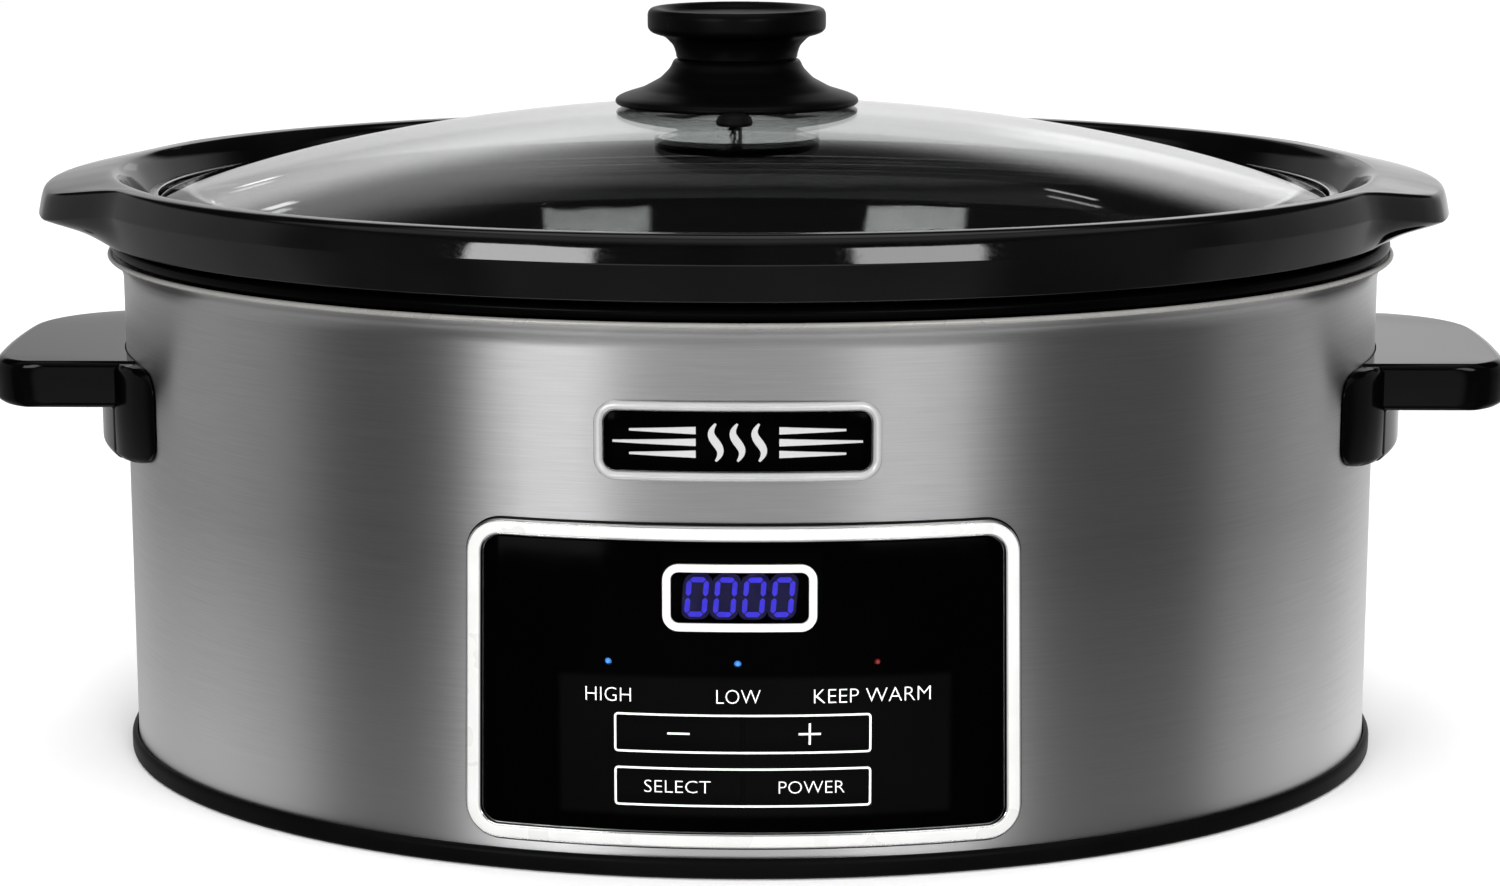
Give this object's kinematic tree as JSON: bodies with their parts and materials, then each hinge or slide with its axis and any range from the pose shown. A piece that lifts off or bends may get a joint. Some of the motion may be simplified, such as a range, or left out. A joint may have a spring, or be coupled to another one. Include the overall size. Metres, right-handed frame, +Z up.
{
  "type": "slow cooker",
  "caption": "Oval countertop slow cooker with lift-out stoneware crock, glass lid, side handles and a digital control panel.",
  "frame": {"origin": "bottom centre, on the surface that the cooker stands on", "axes": "+X to the right along the cooker's length, +Y to the back, +Z up, as seen by a cook who faces the control panel"},
  "size_m": [0.411, 0.288, 0.204],
  "materials": {
    "brushed_shell": "satin, brushed round the wall",
    "black_base": "fine matt",
    "base_sheet": "dark grey paint",
    "foot_rubber": "matt",
    "liner_enamel": "black heat-proof coating, satin",
    "heater_wrap": "woven glass tape",
    "insulation": "glass fibre felt",
    "shield_metal": "mill",
    "fastener_steel": "zinc plated",
    "sensor_metal": "plain",
    "crock_glaze": "high gloss black glaze",
    "lid_glass": "clear tempered glass",
    "rim_steel": "polished stainless band",
    "knob_black": "satin",
    "seal_silicone": "satin silicone",
    "handle_black": "gloss",
    "chrome_trim": "bright chrome plated plastic",
    "panel_black": "smooth black",
    "display_trim": "off-white",
    "display_smoke": "smoked lens",
    "display_block": "matt",
    "lamp_blue": "lit lens",
    "lamp_red": "lit lens",
    "switch_plastic": "matt",
    "board_green": "solder mask",
    "tray_plastic": "plain moulded",
    "relay_blue": "moulded",
    "capacitor_film": "moulded",
    "terminal_nylon": "nylon",
    "ribbon_grey": "vinyl",
    "inlet_black": "matt moulded"
  },
  "bodies": {
    "base": {"outer_shell": "brushed_shell", "base_ring": "black_base", "bottom_plate": "base_sheet", "foot_front_left": "foot_rubber", "foot_front_right": "foot_rubber", "foot_back_left": "foot_rubber", "foot_back_right": "foot_rubber", "heating_liner": "liner_enamel", "heater_band": "heater_wrap", "insulation_wrap": "insulation", "heat_shield": "shield_metal", "temperature_sensor": "sensor_metal", "thermal_fuse": "sensor_metal", "centre_stud": "fastener_steel", "centre_nut": "fastener_steel", "cord_inlet": "inlet_black", "cord_inlet_nut": "inlet_black", "badge_rim": "chrome_trim", "badge_face": "panel_black", "handle_left": "handle_black", "handle_right": "handle_black", "handle_screw_left_front": "fastener_steel", "handle_screw_left_back": "fastener_steel", "handle_screw_right_front": "fastener_steel", "handle_screw_right_back": "fastener_steel", "panel_bezel": "chrome_trim", "overlay_panel": "panel_black", "display_frame": "display_trim", "display_lens": "display_smoke", "display_module": "display_block", "lamp_high": "lamp_blue", "lamp_low": "lamp_blue", "lamp_warm": "lamp_red", "switch_minus": "switch_plastic", "switch_plus": "switch_plastic", "switch_select": "switch_plastic", "switch_power": "switch_plastic", "control_board": "board_green", "control_tray": "tray_plastic", "control_ribbon": "ribbon_grey", "power_board": "board_green", "power_relay": "relay_blue", "supply_capacitor": "capacitor_film", "terminal_block": "terminal_nylon", "board_rail_left": "tray_plastic", "board_rail_right": "tray_plastic"},
    "crock": {"crock": "crock_glaze"},
    "lid": {"lid_glass": "lid_glass", "lid_rim": "rim_steel", "vent_grommet": "seal_silicone", "knob_skirt": "knob_black", "knob_grip": "knob_black", "knob_gasket": "seal_silicone", "lid_washer": "seal_silicone", "knob_screw": "fastener_steel"},
    "key_minus": {"key_minus": "panel_black"},
    "key_plus": {"key_plus": "panel_black"},
    "key_select": {"key_select": "panel_black"},
    "key_power": {"key_power": "panel_black"}
  },
  "joints": [
    {"name": "crock_lift", "type": "slide", "parent": "base", "child": "crock", "axis": [0, 0, 1], "range_m": [0, 0.13]},
    {"name": "lid_lift", "type": "slide", "parent": "crock", "child": "lid", "axis": [0, 0, 1], "range_m": [0, 0.08]},
    {"name": "press_minus", "type": "slide", "parent": "base", "child": "key_minus", "axis": [0, 1, 0], "range_m": [0, 0.0004], "stiffness_N_per_m": 2000},
    {"name": "press_plus", "type": "slide", "parent": "base", "child": "key_plus", "axis": [0, 1, 0], "range_m": [0, 0.0004], "stiffness_N_per_m": 2000},
    {"name": "press_select", "type": "slide", "parent": "base", "child": "key_select", "axis": [0, 1, 0], "range_m": [0, 0.0004], "stiffness_N_per_m": 2000},
    {"name": "press_power", "type": "slide", "parent": "base", "child": "key_power", "axis": [0, 1, 0], "range_m": [0, 0.0004], "stiffness_N_per_m": 2000}
  ]
}
